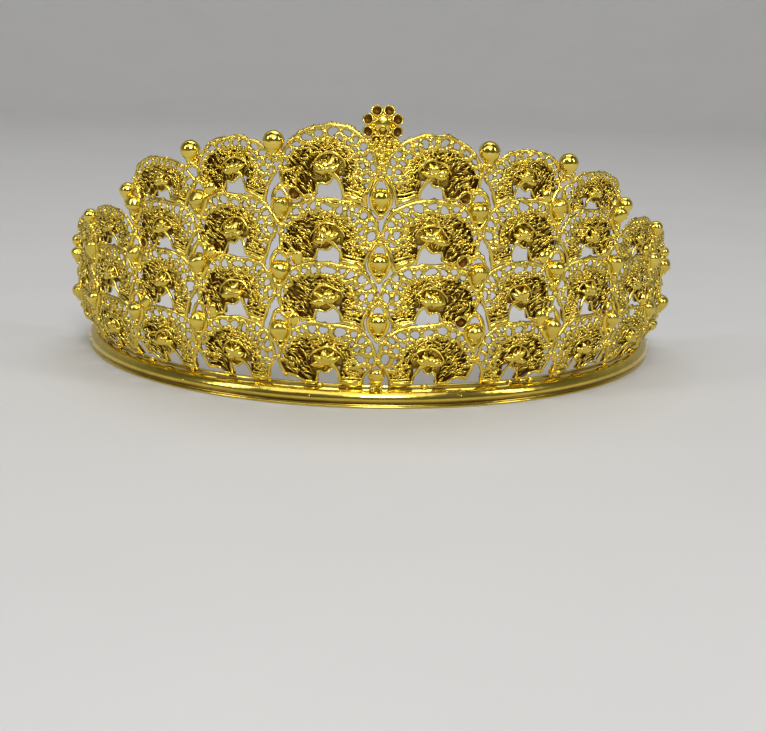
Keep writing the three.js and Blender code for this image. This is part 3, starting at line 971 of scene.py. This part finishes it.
def add_moulding(shells):
    """The band's own body, swept round the head, with softened ends."""
    profile = band_profile()
    sides = len(profile)
    core = np.array([(STRIP_INNER + BAND_RADIUS) / 2, STRIP_HEIGHT / 2])
    limit = math.radians(BAND_HALF_ANGLE)
    ends = np.radians(END_TURNS)
    along = np.linspace(-limit + BAND_END_GAP, limit - BAND_END_GAP, BAND_STEPS)
    turns = np.concatenate([-limit + ends, along, limit - ends[::-1]])
    sizes = np.ones(len(turns))
    sizes[:len(END_SIZES)] = END_SIZES
    sizes[-len(END_SIZES):] = END_SIZES[::-1]
    rings = []
    for turn, size in zip(turns, sizes):
        across = core + (profile[:, :2] - core) * size
        rings.append(round_band(across[:, 0], turn, np.maximum(across[:, 1], 0.0)))
    faces = [tuple(reversed(face)) for face in ring_faces(len(turns), sides)]
    faces.append(tuple(range(sides)))
    faces.append(tuple(reversed(range((len(turns) - 1) * sides, len(turns) * sides))))
    shells.add(np.vstack(rings), faces, np.tile(profile[:, 2], len(turns)))


def build_band():
    shells = Shells()
    add_moulding(shells)
    rng = np.random.default_rng(BAND_SEED)
    for degrees in SOLDER_TURNS:
        turn = math.radians(degrees + rng.uniform(-2, 2))
        spot = round_band(STRIP_OUTER + 0.35, turn, MOULDING_TOP + 0.25)
        ball(shells, spot, rng.uniform(0.55, 0.85), sides=14, rings=8, stretch=(1.1, 1.1, 0.7))
    for _ in range(SOLDER_DROPS):
        turn = math.radians(rng.uniform(-80, 80))
        radius, height = on_moulding(rng.uniform(5, 70))
        ball(shells, round_band(radius, turn, height), rng.uniform(0.12, 0.26), sides=8, rings=5)
    points, faces, painted_shade = shells.arrays()
    points = (points + (0, CENTRE_Y, 0)) * MM
    piece("band_moulding", points, faces, painted_shade, BAND_GOLD, "base_band")


# Stage and light, in metres and watts

FLOOR_RINGS = (0.25, 0.6, 1.0)
SWEEP = 0.7
SWEEP_STEP = 6
WALL_TOP = 3.0
STUDIO_SIDES = 72
PAPER = ((0.56, 0.555, 0.545, 1), (0.60, 0.595, 0.585, 1))
PAPER_SCALE = 60.0

# Area lights: place, aim, width, height, power
AIM = (0.0, 0.0, 0.03)
LIGHTS = {
    "key": ((0.04, -0.66, 0.46), AIM, 0.2, 0.2, 3.0),
    "front": ((-0.1, -0.55, 0.8), AIM, 1.0, 0.6, 2.6),
    "fill_right": ((0.62, -0.35, 0.42), AIM, 0.12, 0.4, 1.15),
    "fill_left": ((-0.62, -0.35, 0.42), AIM, 0.12, 0.4, 1.15),
    "top": ((0.05, 0.15, 0.8), AIM, 0.5, 0.3, 1.3),
    "backdrop": ((0.0, 0.5, 1.2), (0.0, 1.5, 0.4), 2.0, 0.5, 8.0),
}
SKY = (0.95, 0.97, 1.0, 1)
SKY_STRENGTH = 0.05


def build_stage():
    """Round studio: a flat floor that curves up into a wall on every side."""
    profile = [(radius, 0.0) for radius in FLOOR_RINGS]
    for degrees in range(SWEEP_STEP, 91, SWEEP_STEP):
        turn = math.radians(degrees)
        profile.append((FLOOR_RINGS[-1] + SWEEP * math.sin(turn), SWEEP - SWEEP * math.cos(turn)))
    profile.append((FLOOR_RINGS[-1] + SWEEP, WALL_TOP))
    turns = np.arange(STUDIO_SIDES) * 2 * math.pi / STUDIO_SIDES
    points = [(r * math.sin(t), -r * math.cos(t), z) for r, z in profile for t in turns]
    faces = ring_faces(len(profile), STUDIO_SIDES)
    faces.append(tuple(reversed(range(STUDIO_SIDES))))
    mesh = bpy.data.meshes.new("floor")
    mesh.from_pydata(points, [], faces)
    mesh.polygons.foreach_set("use_smooth", np.ones(len(mesh.polygons), bool))
    floor = bpy.data.objects.new("floor", mesh)
    bpy.context.scene.collection.objects.link(floor)
    material = bpy.data.materials.new("floor_paper")
    material.use_nodes = True
    nodes, links = material.node_tree.nodes, material.node_tree.links
    shader = nodes["Principled BSDF"]
    shader.inputs["Roughness"].default_value = 0.9
    grain = nodes.new("ShaderNodeTexNoise")
    grain.inputs["Scale"].default_value = PAPER_SCALE
    tint = nodes.new("ShaderNodeMix")
    tint.data_type = "RGBA"
    tint.inputs["A"].default_value, tint.inputs["B"].default_value = PAPER
    links.new(grain.outputs["Fac"], tint.inputs["Factor"])
    links.new(tint.outputs["Result"], shader.inputs["Base Color"])
    mesh.materials.append(material)


def build_light():
    for name, (spot, aim, width, height, power) in LIGHTS.items():
        lamp = bpy.data.lights.new(name, "AREA")
        lamp.shape = "RECTANGLE"
        lamp.size = width
        lamp.size_y = height
        lamp.energy = power
        made = bpy.data.objects.new(name, lamp)
        made.location = spot
        made.rotation_euler = (Vector(aim) - Vector(spot)).to_track_quat("-Z", "Y").to_euler()
        bpy.context.scene.collection.objects.link(made)
    world = bpy.data.worlds.new("studio")
    world.use_nodes = True
    world.node_tree.nodes["Background"].inputs["Color"].default_value = SKY
    world.node_tree.nodes["Background"].inputs["Strength"].default_value = SKY_STRENGTH
    bpy.context.scene.world = world


# Camera fitted to the photo: distance and aim in millimetres, angles in degrees, focal length in pixels

IMAGE_WIDTH = 766
CAMERA = {
    "distance": 336.6, "elevation": 13.74, "yaw": 2.01, "roll": 1.5,
    "focal": 1307.2, "right": 3.74, "up": -7.94,
}
SENSOR_WIDTH = 36.0


def build_camera():
    tilt, yaw, roll = (math.radians(CAMERA[k]) for k in ("elevation", "yaw", "roll"))
    forward = Vector((math.sin(yaw) * math.cos(tilt), math.cos(yaw) * math.cos(tilt), -math.sin(tilt)))
    flat = Vector((math.cos(yaw), -math.sin(yaw), 0))
    upright = flat.cross(forward)
    right = math.cos(roll) * flat + math.sin(roll) * upright
    up = math.cos(roll) * upright - math.sin(roll) * flat
    aim = Vector((0, CENTRE_Y, CAMERA["up"])) + CAMERA["right"] * right
    spot = (aim - CAMERA["distance"] * forward) * MM
    lens = bpy.data.cameras.new("camera")
    lens.sensor_width = SENSOR_WIDTH
    lens.lens = CAMERA["focal"] / IMAGE_WIDTH * SENSOR_WIDTH
    lens.clip_start = 0.01
    camera = bpy.data.objects.new("camera", lens)
    camera.matrix_world = Matrix((
        (right.x, up.x, -forward.x, spot.x),
        (right.y, up.y, -forward.y, spot.y),
        (right.z, up.z, -forward.z, spot.z),
        (0, 0, 0, 1),
    ))
    bpy.context.scene.collection.objects.link(camera)
    bpy.context.scene.camera = camera
    bpy.context.scene.view_settings.view_transform = "Standard"


build_camera()
build_stage()
build_light()
build_band()
build_fans()
build_beads()
build_flower()
